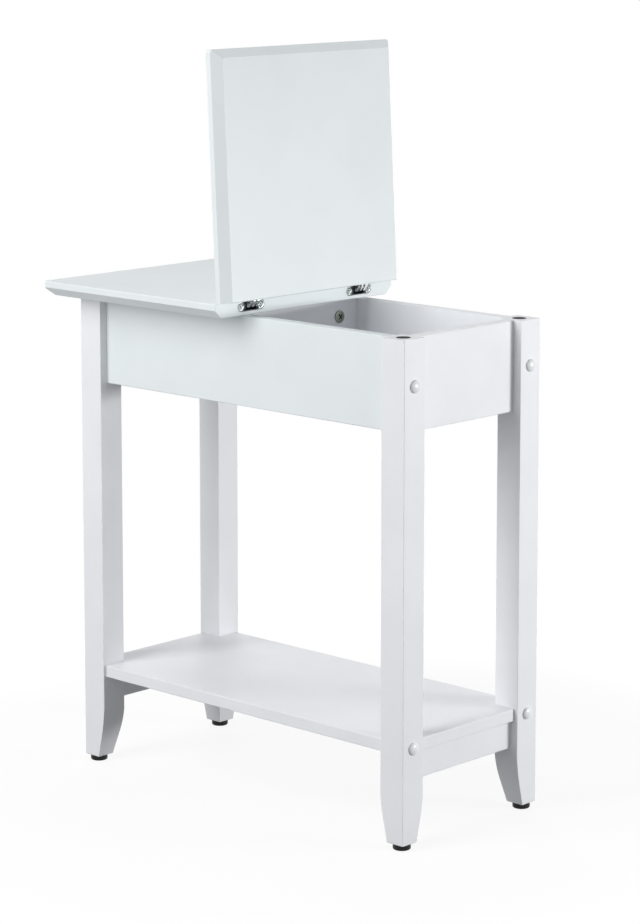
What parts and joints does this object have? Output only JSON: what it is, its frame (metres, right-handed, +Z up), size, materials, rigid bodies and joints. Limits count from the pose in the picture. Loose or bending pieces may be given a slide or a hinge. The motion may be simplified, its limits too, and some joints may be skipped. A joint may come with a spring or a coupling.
{
  "type": "flip-top end table",
  "caption": "Narrow white end table on square tapered legs, with a shelf below and half of its top hinged to open over a storage compartment.",
  "frame": {"origin": "on the floor, in the middle of the box round the table as it stands with its lid open", "axes": "+Z up, +X towards the lid and its compartment, -Y the front"},
  "size_m": [0.5716, 0.305, 0.9059],
  "materials": {
    "white_lacquer": "satin white lacquer sprayed on fibreboard",
    "raw_wood": "planed, unfinished",
    "white_plastic": "glossy white moulded caps",
    "zinc_steel": "zinc-plated steel",
    "dark_steel": "dark plated steel",
    "nickel_zinc": "satin nickel on die-cast zinc",
    "bright_steel": "polished steel stampings",
    "dark_rubber": "matt rubber",
    "black_plastic": "matt glides"
  },
  "bodies": {
    "root": {"top_fixed": "white_lacquer", "leg_front_left": "white_lacquer", "leg_back_left": "white_lacquer", "leg_front_right": "white_lacquer", "leg_back_right": "white_lacquer", "apron_front": "white_lacquer", "apron_back": "white_lacquer", "end_panel_left": "white_lacquer", "end_panel_right": "white_lacquer", "divider": "white_lacquer", "compartment_floor": "white_lacquer", "shelf": "white_lacquer", "rail_left": "white_lacquer", "rail_right": "white_lacquer", "cleat_divider": "raw_wood", "cleat_end": "raw_wood", "end_panel_tenons": "raw_wood", "rail_tenons": "raw_wood", "divider_tenons": "raw_wood", "bolt_caps": "white_plastic", "leg_bolts": "zinc_steel", "barrel_nuts": "zinc_steel", "top_screws": "zinc_steel", "cleat_screws": "zinc_steel", "divider_screws": "dark_steel", "hinge_case_fixed_front": "nickel_zinc", "hinge_case_fixed_rear": "nickel_zinc", "hinge_screws_fixed": "nickel_zinc", "hinge_pivot_pins_fixed": "bright_steel", "lid_pads": "dark_rubber", "glides": "black_plastic"},
    "lid": {"top_lid": "white_lacquer", "hinge_case_lid_front": "nickel_zinc", "hinge_case_lid_rear": "nickel_zinc", "hinge_screws_lid": "nickel_zinc", "hinge_pivot_pins_lid": "bright_steel"},
    "front_fixed_links": {"hinge_links_fixed_front": "bright_steel", "hinge_centre_pin_front": "bright_steel"},
    "rear_fixed_links": {"hinge_links_fixed_rear": "bright_steel", "hinge_centre_pin_rear": "bright_steel"},
    "front_lid_links": {"hinge_links_lid_front": "bright_steel"},
    "rear_lid_links": {"hinge_links_lid_rear": "bright_steel"}
  },
  "joints": [
    {"name": "lid_hinge", "type": "hinge", "parent": "root", "child": "lid", "pos_m": [0.01575, 0, 0.61035], "axis": [0, -1, 0], "range_deg": [-93, 87]},
    {"name": "front_fixed_link_pivot", "type": "hinge", "parent": "root", "child": "front_fixed_links", "pos_m": [0.01315, -0.0935, 0.6067], "axis": [0, -1, 0], "range_deg": [-53.3, 49.9]},
    {"name": "front_lid_link_pivot", "type": "hinge", "parent": "lid", "child": "front_lid_links", "pos_m": [0.01926, -0.0935, 0.61314], "axis": [0, -1, 0], "range_deg": [-49.9, 53.3]},
    {"name": "rear_fixed_link_pivot", "type": "hinge", "parent": "root", "child": "rear_fixed_links", "pos_m": [0.01315, 0.0935, 0.6067], "axis": [0, -1, 0], "range_deg": [-53.3, 49.9]},
    {"name": "rear_lid_link_pivot", "type": "hinge", "parent": "lid", "child": "rear_lid_links", "pos_m": [0.01926, 0.0935, 0.61314], "axis": [0, -1, 0], "range_deg": [-49.9, 53.3]}
  ],
  "couplings": [
    {"joint": "front_fixed_link_pivot", "follows": "lid_hinge", "ratio": 0.572},
    {"joint": "front_lid_link_pivot", "follows": "lid_hinge", "ratio": -0.572},
    {"joint": "rear_fixed_link_pivot", "follows": "lid_hinge", "ratio": 0.572},
    {"joint": "rear_lid_link_pivot", "follows": "lid_hinge", "ratio": -0.572}
  ]
}
